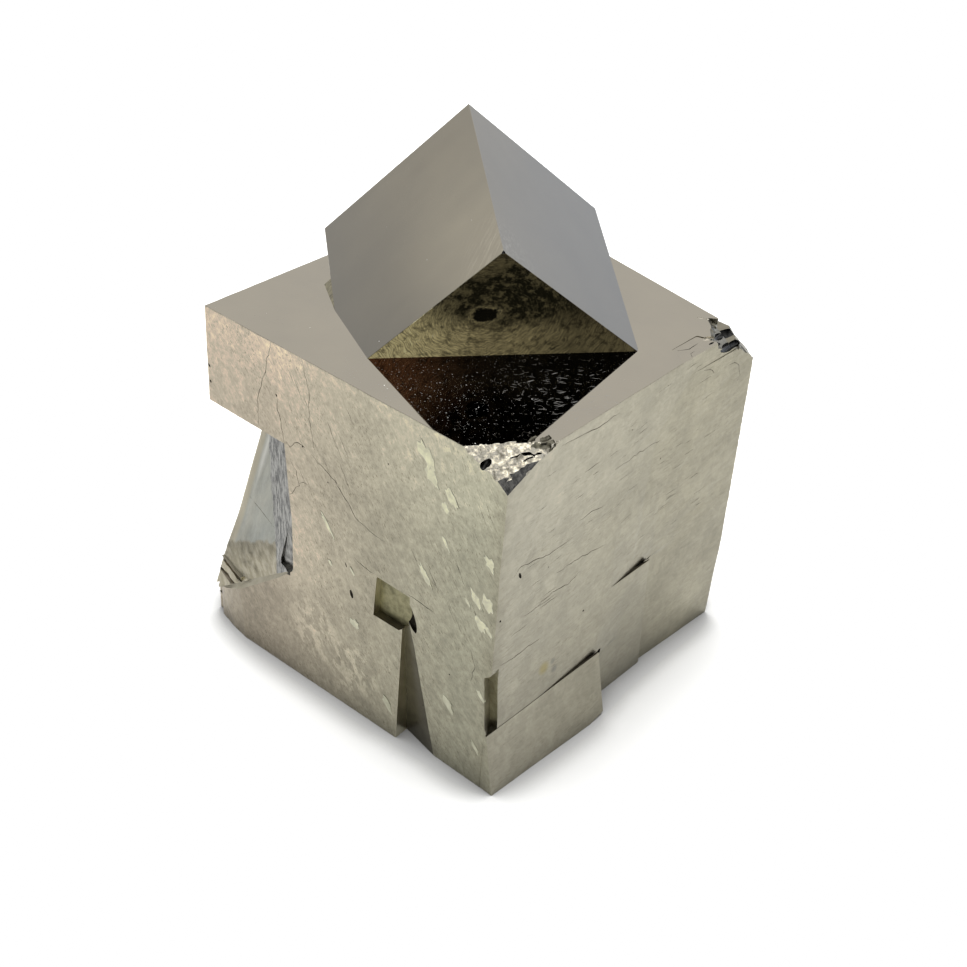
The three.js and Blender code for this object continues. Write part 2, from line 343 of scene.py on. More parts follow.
def striated_finish(name, turn, size, far_tone, near_tone, across, contrast, painted_light_by_height):
    material, tree, shader = new_metal(name)
    place = off_foot_mm(tree)
    crowd = ramp(grain(tree, 5), 0.35, 0.6, 0.25, 1)
    strokes = grain(tree, size, turn, detail=4, rough=0.65, distortion=0.4)
    marks = grain(tree, [0.45 * side for side in size], turn, rough=0.6)
    mottle = grain(tree, 0.8, detail=5, rough=0.75)
    cloud = grain(tree, 6, detail=4)
    tone = mix(tree, ramp(place[across], 4, 30), near_tone, far_tone)
    # Darker towards the foot and lighter towards the top: a painted reflection of the shaded floor.
    tone = shaded(tone, ramp(place["Z"], *painted_light_by_height))
    tone = shaded(tone, ramp(cloud, 0.3, 0.7, 0.9, 1.08))
    tone = shaded(tone, ramp(mottle, 0.3, 0.7, 1 - 0.13 * contrast, 1 + 0.12 * contrast))
    tone = shaded(tone, ramp(strokes, 0.3, 0.7, 1 - 0.06 * contrast, 1 + 0.06 * contrast))
    for middle, inner, outer, gain in STAIN_AND_PAINTED_LIGHT_PATCHES:
        tone = shaded(tone, near(tree, middle, inner, outer, 1, gain))
    blot = ramp(grain(tree, (2, 1.2, 2.2), turn, detail=4, distortion=0.5), 0.49, 0.52)
    blot = times(blot, most(*[near(tree, spot, 2.5, 4.2, 0.2) for spot in BLOTS]))
    tone = mix(tree, blot, tone, shaded(tone, 1.38))
    for middle, radius, spot_tone in SPOTS:
        tone = mix(tree, near(tree, middle, 0.4 * radius, radius, 0, 0.75), tone, spot_tone)
    from_edge = node(tree, "CombineXYZ", i0=place["X"], i1=place["Y"]).outputs[0]
    # Brown is painted along the front edge: strongest at the edge and gone 1.9 mm from it.
    front_edge_band = ramp(length(from_edge), 0.3, 1.9, 0.34, 0)
    tone = mix(tree, times(front_edge_band, crowd), tone, BROWN)
    lines = times(contour(strokes, 0.5, 0.006), 0.3)
    share = most(ramp(marks, 0.33, 0.43, min(1, 0.55 * contrast), 0), lines)
    tone = mix(tree, times(share, crowd), tone, BROWN)
    dull = ramp(strokes, 0.3, 0.7, SIDE_DULL + 0.08, SIDE_DULL)
    relief = bump(marks, 0.006 * contrast, bump(strokes, 0.01 * contrast))
    plug(shader, Base_Color=tone, Roughness=dull, Normal=bump(mottle, 0.006, relief))
    return material


# %% [markdown]
# The recess is one slanting facet with three bands down it. Its outer edge is beige, its middle is
# a smooth blue-grey with a soft pale streak, and the inner side is a streaked channel. Its foot is
# rough and brown. The edges of the channel and of the foot slant across it.

# %% Recess
CHANNEL_SLANT = 0.8
CHANNEL_AT = 20.9
ROUGH_FOOT = 31
FOOT_SLANT = 0.55
STREAK_AT = 38.2
CHANNEL_DARK = (0.13, 0.13, 0.128)
CHANNEL_PALE = (0.42, 0.415, 0.39)
BLUE = (0.315, 0.325, 0.295)
BLUE_PALE = (0.385, 0.38, 0.33)
STREAK = (0.66, 0.65, 0.6)


def recess_finish():
    material, tree, shader = new_metal("recess")
    place = off_foot_mm(tree)
    fleck = grain(tree, (0.45, 0.45, 0.9), detail=5, rough=0.75)
    soft = grain(tree, (3, 3, 6), detail=4)
    streaks = grain(tree, (0.7, 0.3, 2.4), LEFT_TURN, detail=5, rough=0.75)
    waver = ramp(grain(tree, 1.4, detail=4), 0.2, 0.8, -1.3, 1.3)
    tone = mix(tree, ramp(soft, 0.35, 0.65), BLUE, BLUE_PALE)
    tone = shaded(tone, ramp(fleck, 0.3, 0.7, 0.9, 1.08))
    off = math_node(tree, "ADD", apart(place["Y"], STREAK_AT), ramp(place["Z"], 15, 19, 1, 0))
    tone = mix(tree, ramp(off, 0, 0.8, 0.5, 0), tone, STREAK)
    tone = mix(tree, ramp(place["Y"], STREAK_AT + 0.4, STREAK_AT + 1), tone, DULL_BRASS)
    foot = math_node(tree, "MULTIPLY_ADD", place["Y"], FOOT_SLANT, place["Z"])
    foot = math_node(tree, "ADD", foot, times(waver, 0.4))
    murk = ramp(grain(tree, (1.6, 1.6, 0.5), (20, 0, 0), detail=5, rough=0.7), 0.44, 0.56)
    brown = mix(tree, murk, TARNISH, DULL_BRASS)
    brown = shaded(brown, ramp(foot, ROUGH_FOOT - 2.5, ROUGH_FOOT - 0.5, 1, 0.72))
    tone = mix(tree, ramp(foot, ROUGH_FOOT + 0.2, ROUGH_FOOT - 0.2), tone, brown)
    channel = mix(tree, ramp(streaks, 0.4, 0.58), CHANNEL_DARK, CHANNEL_PALE)
    channel = mix(tree, ramp(fleck, 0.55, 0.7, 0, 0.5), channel, CHANNEL_PALE)
    slant = math_node(tree, "MULTIPLY_ADD", place["Z"], -CHANNEL_SLANT, place["Y"])
    slant = math_node(tree, "ADD", slant, times(waver, 0.3))
    tone = mix(tree, ramp(slant, CHANNEL_AT + 0.2, CHANNEL_AT - 0.2), tone, channel)
    relief = bump(streaks, 0.02, bump(fleck, 0.015))
    plug(shader, Base_Color=tone, Roughness=0.34, Normal=relief)
    return material


# %% [markdown]
# The small cube's lower faces carry a skin of hair-fine fibres that curl round a dark eye. The
# pattern is a noise of two measures: the distance from the eye, short across the fibres, and the
# way round it, which is long. A black mottled patch lies over the upper middle: its black is a
# painted reflection of the dark side of the room. The skin is painted palest in the left corner, a
# painted reflection of light, and painted darker towards the right and over the upper part, which
# is painted shade.

# %% Lower faces of the small cube
EYE = (12.1, 13.6, 45.3)
EYE_SIZE = (1.25, 0.85, 0.85)
PATCH_MIDDLE = (13.2, 11.7, 47.4)
PATCH_SIZE = (6.8, 3, 4.1)
SKIN_TURN = (0, 0, -39.6)
PAINTED_LIGHT_SKIN = (0.74, 0.69, 0.47)
SKIN_DARK = (0.36, 0.325, 0.215)
# The patch's black is a painted reflection of the dark side of the room.
PATCH_TONES = ((0.012, 0.012, 0.008), (0.2, 0.18, 0.12), (0.22, 0.2, 0.13))
RING = (0.45, 0.41, 0.28)
RING_AT = 1.25
EYE_BLACK = (0.006, 0.006, 0.005)
ALONG_SKIN = (0.771, -0.637, 0)
UP_SKIN = (-0.165, -0.198, 0.966)


def dot(vector, way):
    kind = {"operation": "DOT_PRODUCT"}
    return node(vector.id_data, "VectorMath", kind, i0=vector, i1=way).outputs["Value"]


def underside_finish():
    material, tree, shader = new_metal("underside")
    offset = spread(tree, middle=EYE)
    along = dot(offset, ALONG_SKIN)
    up = dot(offset, UP_SKIN)
    way = math_node(tree, "ARCTAN2", up, along)
    bend = ramp(grain(tree, 3, detail=2), 0, 1, -1.1, 1.1)
    reach = math_node(tree, "ADD", length(offset), bend)
    sweep = node(tree, "CombineXYZ", i0=times(reach, 8), i1=times(way, 4)).outputs[0]
    fibres = node(tree, "TexNoise", Vector=sweep, Scale=1, Detail=5, Roughness=0.75).outputs["Fac"]
    blots = grain(tree, 0.8, detail=4, rough=0.7)
    ragged = ramp(grain(tree, 2, detail=5, rough=0.7), 0.25, 0.75, -0.5, 0.5)
    from_patch = length(spread(tree, PATCH_SIZE, SKIN_TURN, PATCH_MIDDLE))
    patch = ramp(math_node(tree, "ADD", from_patch, ragged), 1.15, 0.75)
    # Pale in the left corner is painted light; darker towards the right is painted shade.
    skin = mix(tree, ramp(along, -7, 0), PAINTED_LIGHT_SKIN, SKIN_DARK)
    skin = shaded(skin, ramp(along, 3, 9, 1.12, 0.5))
    # Darker over the upper part, away from the left corner: painted shade.
    painted_shade_above = times(ramp(along, -8, -4.5), ramp(up, -2.6, 0.3, 0, -0.62))
    skin = shaded(skin, math_node(tree, "ADD", painted_shade_above, 1))
    skin = shaded(skin, ramp(fibres, 0.36, 0.64, 0.35, 1.55))
    skin = shaded(skin, ramp(blots, 0.36, 0.5, 0.4, 1))
    black, brown, olive = PATCH_TONES
    black = mix(tree, ramp(fibres, 0.54, 0.74), black, brown)
    black = mix(tree, ramp(blots, 0.5, 0.62, 0, 0.6), black, olive)
    tone = mix(tree, patch, skin, black)
    frayed = ramp(grain(tree, 0.8, detail=4, rough=0.7), 0.2, 0.8, -0.35, 0.35)
    from_eye = math_node(tree, "ADD", length(spread(tree, EYE_SIZE, SKIN_TURN, EYE)), frayed)
    ring = times(ramp(apart(from_eye, RING_AT), 0, 0.4, 0.8, 0), ramp(fibres, 0.4, 0.6))
    eye = times(ramp(from_eye, 1.1, 0.95), ramp(fibres, 0.66, 0.6))
    tone = mix(tree, eye, mix(tree, ring, tone, RING), EYE_BLACK)
    plug(shader, Base_Color=tone, Roughness=0.12, Normal=bump(fibres, 0.002))
    return material


# %% [markdown]
# The small parts need less: two tones in clouds and a little relief. Broken metal is the brightest:
# its white is a painted highlight, standing in for its facets catching the lamp. Hollows and
# crevices are dark, the wedge on the left side and the slit are painted shade, the notch is olive
# and the thin leaves on the left side are pale.
# Each row gives two tones, the dullness, the size of the clouds and the depth of the relief in mm
# and, where it isn't 1, how far it is metal.

# %% Small parts
PLAIN = {
    "shell": (HAZE, BRASS_GREY, 0.1, 2, 0.02),
    "step": (TARNISH, DULL_BRASS, 0.35, 1.5, 0.02),
    "tip": ((0.15, 0.15, 0.156), (0.42, 0.41, 0.42), 0.2, 0.9, 0.05),
    "wall": ((0.62, 0.59, 0.44), (0.75, 0.71, 0.56), 0.3, 2, 0.02),
    # Painted shade: the wedge beside the foot block is dark, as the block's shaded wall is reflected
    # in it.
    "wedge": ((0.076, 0.068, 0.042), (0.116, 0.105, 0.072), 0.3, 2, 0.02),
    # Painted shade: the slit is coloured dark as shade falls inside it.
    "slit": ((0.26, 0.24, 0.17), (0.37, 0.345, 0.26), 0.3, 1, 0.02),
    "notch": ((0.15, 0.14, 0.08), (0.3, 0.28, 0.165), 0.4, 1.2, 0.04),
    "base": (TARNISH, DULL_BRASS, 0.5, 2, 0.03),
    # Painted highlight: the white of broken metal stands in for its facets catching the lamp.
    "broken": ((0.26, 0.235, 0.18), (1, 0.95, 0.82), 0.25, 0.5, 0.03, 0.3),
    "chip": ((0.2, 0.185, 0.14), (0.4, 0.375, 0.29), 0.3, 0.9, 0.02),
    "lens": ((0.008, 0.008, 0.009), (0.11, 0.11, 0.105), 0.16, 0.45, 0.03),
    "crevice": ((0.02, 0.018, 0.014), (0.06, 0.054, 0.042), 0.5, 0.5, 0.01),
    "hairline": ((0.12, 0.105, 0.08), (0.24, 0.22, 0.17), 0.5, 0.5, 0.01),
    "flake": ((0.46, 0.45, 0.335), (0.58, 0.57, 0.44), 0.3, 0.9, 0.01),
}


def plain_metal(name, low, high, dull, size, depth, metal=1):
    material, tree, shader = new_metal(name)
    cloud = grain(tree, size, detail=5, rough=0.65)
    tone = mix(tree, ramp(cloud, 0.36, 0.64), low, high)
    relief = bump(cloud, depth)
    plug(shader, Base_Color=tone, Metallic=metal, Roughness=dull, Normal=relief)
    return material


print("small parts:", len(PLAIN))

# %% [markdown]
# Now every finish is made, and kept by its name. The two sides behind are like the two in front.

# %% All the finishes
RIGHT_TONE = (0.425, 0.4, 0.315)
RIGHT_FAR_TONE = (0.355, 0.33, 0.245)
# The last entry of each side: heights in mm and gains of the painted reflection of the shaded floor.
LEFT_SIDE = (LEFT_TURN, LEFT_STROKES, PINKISH, GREENISH, "Y", 1.6, (27, 39, 0.81, 1.1))
RIGHT_SIDE = (RIGHT_TURN, RIGHT_STROKES, RIGHT_FAR_TONE, RIGHT_TONE, "X", 0.8, (0, EDGE, 0.76, 0.99))
finishes = {
    "top_face": mirror_finish("top_face", 0.03, 1.0, 1.0),
    "twin_face": mirror_finish("twin_face", 0.12, 0.45, 0.25),
    "underside": underside_finish(),
    "left_face": striated_finish("left_face", *LEFT_SIDE),
    "right_face": striated_finish("right_face", *RIGHT_SIDE),
    "behind_left": striated_finish("behind_left", *RIGHT_SIDE),
    "behind_right": striated_finish("behind_right", *LEFT_SIDE),
    "recess": recess_finish(),
}
for name, values in PLAIN.items():
    finishes[name] = plain_metal(name, *values)
kinds = list(finishes)
print("finishes:", ", ".join(kinds))

# %% [markdown]
# ## The crystals
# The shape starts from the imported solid. Its copy is loose triangles, so its doubles are merged and
# its flat faces joined up again. Then every face gets the finish of its part, found by its normal
# and its place. Boxes, in millimetres, mark the small parts.

# %% Copy the solid


def only(thing):
    """Selects one object and nothing else, and makes it active."""
    for other in bpy.context.view_layer.objects:
        other.select_set(other == thing)
    bpy.context.view_layer.objects.active = thing


def open_mesh(thing, parts):
    """Opens a mesh in edit mode with nothing selected, to pick its edges or its faces."""
    only(thing)
    bpy.ops.object.mode_set(mode="EDIT")
    bpy.ops.mesh.select_mode(type=parts)
    bpy.ops.mesh.select_all(action="DESELECT")
    return bmesh.from_edit_mesh(thing.data)


def merged_copy(source, name):
    thing = new_object(name, source.data.copy())
    only(thing)
    bpy.ops.object.mode_set(mode="EDIT")
    bpy.ops.mesh.select_all(action="SELECT")
    bpy.ops.mesh.customdata_custom_splitnormals_clear()
    bpy.ops.mesh.remove_doubles(threshold=MM / 1000)
    bpy.ops.mesh.dissolve_limited(angle_limit=radians(0.2))
    bpy.ops.object.mode_set(mode="OBJECT")
    thing.data.materials.clear()
    for finish in finishes.values():
        thing.data.materials.append(finish)
    return thing


BOXES = {
    "tip": ((-0.1, -0.1, 37), (3, 2, 39)),
    "recess wall": ((0.15, 27, 12), (3, 30.5, 24)),
    "gap": ((5, -1.1, 7.3), (27, 0.6, 16.9)),
    "notch": ((0.5, 10.9, 14), (1, 15.4, 19.5)),
    "wedge": ((0.35, 6.5, -1), (1.5, 11.2, 14)),
    "slit": ((-1, 0.2, 7), (2.5, 1.3, 16.9)),
    "front corner": ((-0.5, -0.5, 37), (8, 6, 40.5)),
}


def inside(spot, name):
    """Whether a place lies in the box of that name."""
    low, high = BOXES[name]
    return all(a < part < b for a, part, b in zip(low, spot, high))


def kind_of(face):
    n = face.normal
    spot = off_foot(face.center)
    if spot.z > EDGE + 0.05:
        return "underside" if n.z < -0.1 else "twin_face"
    if n.z > 0.92 and spot.z > 39:
        return "shell" if spot.y < 3 and spot.x > 26 else "top_face"
    if inside(spot, "tip") and 0.7 < n.z < 0.82:
        return "tip"
    if n.z < -0.98 and spot.z < 0.1:
        return "base"
    if inside(spot, "recess wall"):
        return "recess"
    if inside(spot, "gap") and (abs(n.z) > 0.6 or n.y > 0.7):
        return "hairline"
    if n.x < -0.8:
        if n.z > 0.2 and spot.y > 26:
            return "recess"
        if inside(spot, "notch"):
            return "notch"
        # The wedge beside the foot block wears a finish of painted shade.
        return "wedge" if inside(spot, "wedge") else "left_face"
    if n.y < -0.8:
        # The slit wears a finish of painted shade.
        if inside(spot, "slit"):
            return "slit"
        return "wall" if spot.y > 8 else "right_face"
    if n.y > 0.8:
        return "behind_left" if spot.y > 30 else "wall"
    if n.x > 0.8:
        return "behind_right" if spot.x > 30 else "wall"
    return "broken" if inside(spot, "front corner") else "step"


crystals = merged_copy(solid, "pyrite_crystals")
for face in crystals.data.polygons:
    face.use_smooth = False
    face.material_index = kinds.index(kind_of(face))
print("flat faces:", len(crystals.data.polygons))

# %% [markdown]
# The shell at the right corner is only a skin's thickness deep, so its floor is lifted nearly to
# the level of the top before anything else is done.

# %% Lift the shell
SHELL_DEPTH = 0.15

shell_points = set()
for face in crystals.data.polygons:
    if kinds[face.material_index] == "shell":
        shell_points.update(face.vertices)
for i in shell_points:
    point = off_foot(crystals.data.vertices[i].co)
    point.z = EDGE - SHELL_DEPTH * (EDGE - point.z)
    crystals.data.vertices[i].co = at(*point)
print("points lifted:", len(shell_points))

# %% [markdown]
# No real edge is perfectly sharp. The long outer edges get a bevel of a few hundredths of a
# millimetre, which is just enough to catch a thread of light.

# %% Wear on the long edges
WORN = 0.03
LONG_EDGE = 4
BROAD_FACE = 12
SHARP = 30


def wear_long_edges(thing):
    cage = open_mesh(thing, "EDGE")
    for edge in cage.edges:
        if len(edge.link_faces) == 2 and edge.calc_length() > LONG_EDGE * MM:
            narrow = min(face.calc_area() for face in edge.link_faces)
            outer = degrees(edge.calc_face_angle_signed()) > SHARP
            edge.select_set(outer and narrow > BROAD_FACE * MM * MM)
    chosen = sum(edge.select for edge in cage.edges)
    bmesh.update_edit_mesh(thing.data)
    bpy.ops.mesh.bevel(offset=WORN * MM, segments=2, affect="EDGES", clamp_overlap=False)
    bpy.ops.object.mode_set(mode="OBJECT")
    print("edges worn:", chosen)


wear_long_edges(crystals)

# %% [markdown]
# The side faces need points before they can take any relief. Bisect cuts straight through the
# chosen faces without changing their shape, so it is repeated at an even step, both ways, with the
# other faces hidden. The two sides in front get a finer net than the two behind.

# %% Net of points on the side faces
FRONT_STEP = 0.3
BACK_STEP = 0.5


def slice_faces(thing, chosen, axis, step):
    """Cuts the faces of the chosen kinds across an axis, every step mm."""
    cage = open_mesh(thing, "FACE")
    for face in cage.faces:
        face.select_set(kinds[face.material_index] in chosen)
    bmesh.update_edit_mesh(thing.data)
    bpy.ops.mesh.hide(unselected=True)
    across = Vector([float(axis == name) for name in "xyz"])
    for i in range(int((EDGE + 2) / step)):
        bpy.ops.mesh.select_all(action="SELECT")
        bpy.ops.mesh.bisect(plane_co=at(*(across * (i + 0.7) * step)), plane_no=across, threshold=1e-7)
    bpy.ops.mesh.reveal(select=False)
    bpy.ops.object.mode_set(mode="OBJECT")


for chosen, axis, step in (
    (("left_face", "recess"), "y", FRONT_STEP),
    (("right_face",), "x", FRONT_STEP),
    (("behind_left",), "x", BACK_STEP),
    (("behind_right",), "y", BACK_STEP),
):
    slice_faces(crystals, chosen, axis, step)
    slice_faces(crystals, chosen, "z", step)
    print("net on", chosen[0], "- faces now:", len(crystals.data.polygons))

# %% [markdown]
# Now the relief: a few hundredths of a millimetre, straight out from each side. The strokes on the
# left run down towards the front edge; the scales on the right lie almost level. The recess is
# streaked, rough at its foot, and partly filled where the ledges run into it. On the right, two
# plates stand out only at their right ends: elsewhere the side above bends out to meet them. Lines
# through a few points say how far, and the gap that is left opens slowly, as a thin dark wedge.
# Low on the left of the foot plate it is shut. The strip under the top's far end bends out too.

# %% Relief on the side faces
OVER_MIDDLE_PLATE = ((0, 0.16), (18.7, 0.773), (26.7, 0.5), (31, 0.66), (42, 1.6))
OVER_FOOT_PLATE = ((0, 0.33), (8.5, 0.87), (17.4, 1.12), (22, 0.88), (26, 1.0))
STRIP_FROM, STRIP_SLOPE = 29.3, 0.031
MIDDLE_FROM, MIDDLE_SLOPE = 22.85, 0.0815
FOOT_AT, FOOT_SLOPE = 0.16, 0.0328
STROKE_LEFT = radians(38)
STROKE_RIGHT = radians(6)
LEDGE_FILL = 0.45
FINE_RELIEF = {"left": 0.022, "right": 0.025}
BROAD_RELIEF = 0.04


def waves(place, size, seed):
    """Smooth noise from -1 to 1, with lumps size mm long on each axis."""
    scaled = Vector([part / side for part, side in zip(place, size)])
    return noise.noise(scaled + Vector((seed * 17.3, seed * 5.1, 0)))


def left_relief(y, z, seed=0):
    along = y * sin(STROKE_LEFT) + z * cos(STROKE_LEFT)
    across = y * cos(STROKE_LEFT) - z * sin(STROKE_LEFT)
    fine = waves((along, across, 0), (1.9, 0.5, 1), 1 + seed)
    broad = waves((along, across, 0), (7, 3, 1), 2 + seed)
    return FINE_RELIEF["left"] * fine + BROAD_RELIEF * broad


def right_relief(x, z, seed=0):
    along = x * cos(STROKE_RIGHT) + z * sin(STROKE_RIGHT)
    across = z * cos(STROKE_RIGHT) - x * sin(STROKE_RIGHT)
    scales = 1 - 2 * abs(waves((along, across, 0), (3.4, 0.8, 1), 3 + seed))
    broad = waves((along, across, 0), (8, 4, 1), 4 + seed)
    share = (0.35 if z < 17 else 1.0) + 0.04 * max(0.0, x - 25)
    return FINE_RELIEF["right"] * share * scales + BROAD_RELIEF * broad


def fade(value, start, end):
    """1 below start and 0 above end, with a soft turn at both."""
    share = max(0.0, min(1.0, (end - value) / (end - start)))
    return share * share * (3 - 2 * share)


def along_line(x, line):
    """A value read at x off a line through (x, value) points."""
    for (x0, value0), (x1, value1) in zip(line, line[1:]):
        if x <= x1:
            return value0 + (value1 - value0) * max(0.0, x - x0) / (x1 - x0)
    return line[-1][1]


def flush_with_plates(x, y, z):
    """How far a side bends out, in mm, to meet the plate below it where that plate is thin."""
    along_strip = x - STRIP_FROM
    if z > 37.7 and along_strip > 0 and y > -0.01 - 0.018 * along_strip:
        return STRIP_SLOPE * along_strip
    if z > 16 and y > -0.1 - 0.02 * x:
        own = max(0.0, MIDDLE_SLOPE * (x - MIDDLE_FROM))
        return max(0.0, along_line(x, OVER_MIDDLE_PLATE) - own) * fade(z, 17, 31)
    if 7.5 < z < 16 and x < 25.6 and y > -0.22 - 0.045 * x:
        own = FOOT_AT + FOOT_SLOPE * x
        return max(0.0, along_line(x, OVER_FOOT_PLATE) - own) * fade(z - 0.058 * x, 8, 14.5)
    return 0.0


def recess_relief(y, z):
    streaks = waves((y, z, 0), (0.9, 6, 1), 5)
    foot = max(0.0, min(1.0, (ROUGH_FOOT + 1 - FOOT_SLANT * y - z) / 2))
    filled = LEDGE_FILL * fade(z, 7, 13) * (1 - fade(y, 32, 37))
    return 0.06 * streaks + 0.1 * foot * waves((y, z, 0), (0.9, 0.5, 1), 6) + filled


def raise_relief(thing):
    mesh = thing.data
    touching = [set() for _ in mesh.vertices]
    for face in mesh.polygons:
        for corner in face.vertices:
            touching[corner].add(kinds[face.material_index])
    moved = 0
    for vertex, found in zip(mesh.vertices, touching):
        x, y, z = off_foot(vertex.co)
        if "recess" in found:
            vertex.co.x -= recess_relief(y, z) * MM
        elif "left_face" in found:
            vertex.co.x -= left_relief(y, z) * MM
        if "right_face" in found:
            vertex.co.y -= (right_relief(x, z) + flush_with_plates(x, y, z)) * MM
        if "behind_left" in found:
            vertex.co.y += right_relief(x, z, 10) * MM
        if "behind_right" in found:
            vertex.co.x += left_relief(-y, z, 10) * MM
        moved += bool(found & {"recess", "left_face", "right_face", "behind_left", "behind_right"})
    mesh.update()
    print("points moved:", moved)


raise_relief(crystals)

# %% [markdown]
# Cracks, pits and broken corners are cut out with tools: closed meshes that a Boolean modifier
# takes away. Each tool wears the finish that its cut is to have. The tools are laid where a ray
# meets the side, so that they follow each step and plate.

# %% Tools that cut
SIDES = {
    "left": (Vector((-1, 0, 0)), lambda u, z: (-10, u, z)),
    "right": (Vector((0, -1, 0)), lambda u, z: (u, -10, z)),
    "behind_left": (Vector((0, 1, 0)), lambda u, z: (u, EDGE + 10, z)),
    "behind_right": (Vector((1, 0, 0)), lambda u, z: (EDGE + 10, u, z)),
    "top": (Vector((0, 0, 1)), lambda x, y: (x, y, EDGE + 30)),
}


def on_side(side, u, v):
    """Where a side's surface lies, u mm along it and v mm up it."""
    out, start = SIDES[side]
    found, place, _, _ = crystals.ray_cast(at(*start(u, v)), -out)
    return off_foot(place) if found else Vector(start(u, v)) - out * 10


def blank(name):
    """An empty mesh object with all the finishes, open in edit mode."""
    thing = new_object(name, bpy.data.meshes.new(name))
    for material in finishes.values():
        thing.data.materials.append(material)
    only(thing)
    bpy.ops.object.mode_set(mode="EDIT")
    return thing


def reshape(middle, placed):
    """Moves each point of the piece just added: from its place off the middle, mm, to a new one."""
    cage = bmesh.from_edit_mesh(bpy.context.object.data)
    for vert in [vert for vert in cage.verts if vert.select]:
        vert.co = at(*placed(*(vert.co - at(*middle)) / MM))
    bmesh.update_edit_mesh(bpy.context.object.data)


def face_outwards():
    """Turns the faces of the piece just drawn outwards, and lets go of it."""
    bpy.ops.mesh.select_linked()
    bpy.ops.mesh.normals_make_consistent(inside=False)
    bpy.ops.mesh.select_all(action="DESELECT")


def change(thing, tool, finish, operation="DIFFERENCE"):
    """Cuts a tool out of a thing, or joins it on. The new faces wear the tool's finish."""
    if bpy.context.object.mode == "EDIT":
        bpy.ops.object.mode_set(mode="OBJECT")
    for face in tool.data.polygons:
        face.material_index = kinds.index(finish)
    before = len(thing.data.polygons)
    only(thing)
    step = thing.modifiers.new(tool.name, "BOOLEAN")
    step.operation = operation
    step.solver = "MANIFOLD"
    step.object = tool
    bpy.ops.object.modifier_apply(modifier=step.name)
    print(tool.name, "- faces:", before, "to", len(thing.data.polygons))
    bpy.data.objects.remove(tool)


# %% [markdown]
# A crack is a thin tube drawn along the surface: a five-sided ring is extruded from point to point
# and resized as it goes, so that it starts thin, swells and runs out to nothing. The long cracks
# are placed one by one. A scatter of short ones follows the growth of each side: a number of them,
# how far they reach across and up, and the way they run.

# %% Cracks


def jagged(points, step, wobble):
    """Points every step mm along a line through the given ones, each a little off it."""
    path = [Vector(points[0])]
    for start, end in zip(points, points[1:]):
        start, end = Vector(start), Vector(end)
        count = max(1, round((end - start).length / step))
        for i in range(1, count + 1):
            off = Vector([random.uniform(-wobble, wobble) for _ in start])
            path.append(start.lerp(end, i / count) + off)
    return path


def draw_tube(points, radius, blunt=0.3):
    """Adds a tapering five-sided tube through the points to the mesh in edit mode."""
    aim = (points[-1] - points[0]).to_track_quat("Z", "Y").to_euler()
    width = radius * blunt
    bpy.ops.mesh.primitive_circle_add(
        vertices=5, radius=width * MM, fill_type="NGON", location=at(*points[0]), rotation=aim,
    )
    last = len(points) - 1
    for i in range(1, last + 1):
        step = (points[i] - points[i - 1]) * MM
        bpy.ops.mesh.extrude_region_move(TRANSFORM_OT_translate={"value": step})
        swell = blunt + (1 - blunt) * sqrt(sin(pi * i / last)) if i < last else blunt / 2
        wanted = radius * swell * random.uniform(0.5, 1.25)
        bpy.ops.transform.resize(value=(wanted / width,) * 3, center_override=at(*points[i]))
        width = wanted


LEFT_CRACKS = {
    "slab, back": [(30.3, 39.9), (31.0, 36.8), (32.4, 32.4), (32.3, 29.0)],
    "slab, middle": [(26.0, 39.9), (25.0, 36.9), (24.9, 33.4), (24.2, 30.0)],
    "slab, short": [(29.6, 34.1), (29.4, 32.5), (28.9, 30.6), (28.7, 29.0)],
    "over the recess": [(28.3, 29.2), (27.7, 28.9), (26.6, 29.9), (25.3, 29.8)],
    "beside the recess": [(28.0, 22.2), (27.8, 22.7), (26.5, 24.7), (26.9, 26.4), (27.9, 27.6)],
    "fork": [(26.5, 24.9), (25.9, 25.4), (25.2, 25.3)],
    "long": [(24.7, 29.4), (21.3, 27.9), (18.3, 25.0), (16.3, 24.3), (14.0, 24.1)],
    "over the block": [(18.4, 19.9), (17.3, 19.5), (15.4, 19.3)],
    "beside the notch": [(11.0, 19.4), (9.3, 19.3), (7.3, 19.2)],
    "low": [(2.6, 17.5), (1.9, 15.8), (2.2, 13.6)],
}
RIGHT_CRACKS = {
    "long": [(9.0, 23.7), (12.4, 23.6), (16.9, 23.1)],
    "upper": [(2.1, 26.9), (3.3, 27.7), (7.0, 26.8), (9.4, 26.8), (11.4, 26.8)],
    "short": [(12.0, 28.4), (13.9, 28.4), (16.3, 28.1)],
    "seam": [(1.4, 16.5), (3.3, 16.3), (5.5, 16.4), (7.8, 16.2)],
    "under the rim": [(7.5, 39.2), (9.4, 39.1), (13.3, 38.7), (16.5, 38.9)],
    "far": [(17.3, 31.8), (21.5, 31.9), (25.1, 31.7)],
    "middle": [(6.0, 21.0), (8.5, 21.6), (11.0, 21.2), (13.2, 21.8)],
    "arc": [(36.0, 36.2), (37.2, 36.1), (38.3, 35.4), (38.8, 34.2), (38.4, 33.2)],
    "arc, inner": [(31.5, 37.4), (32.8, 37.0), (33.6, 36.3)],
}
SHORT_CRACKS = {
    "left": (40, (1, 30), (20, 39), Vector((-0.6, -1))),
    "right": (64, (2, 34), (18, 39.2), Vector((1, 0.05))),
    "behind_left": (40, (2, 38), (4, 38), Vector((1, 0.05))),
    "behind_right": (40, (3, 38), (4, 36), Vector((0.6, -1))),
}


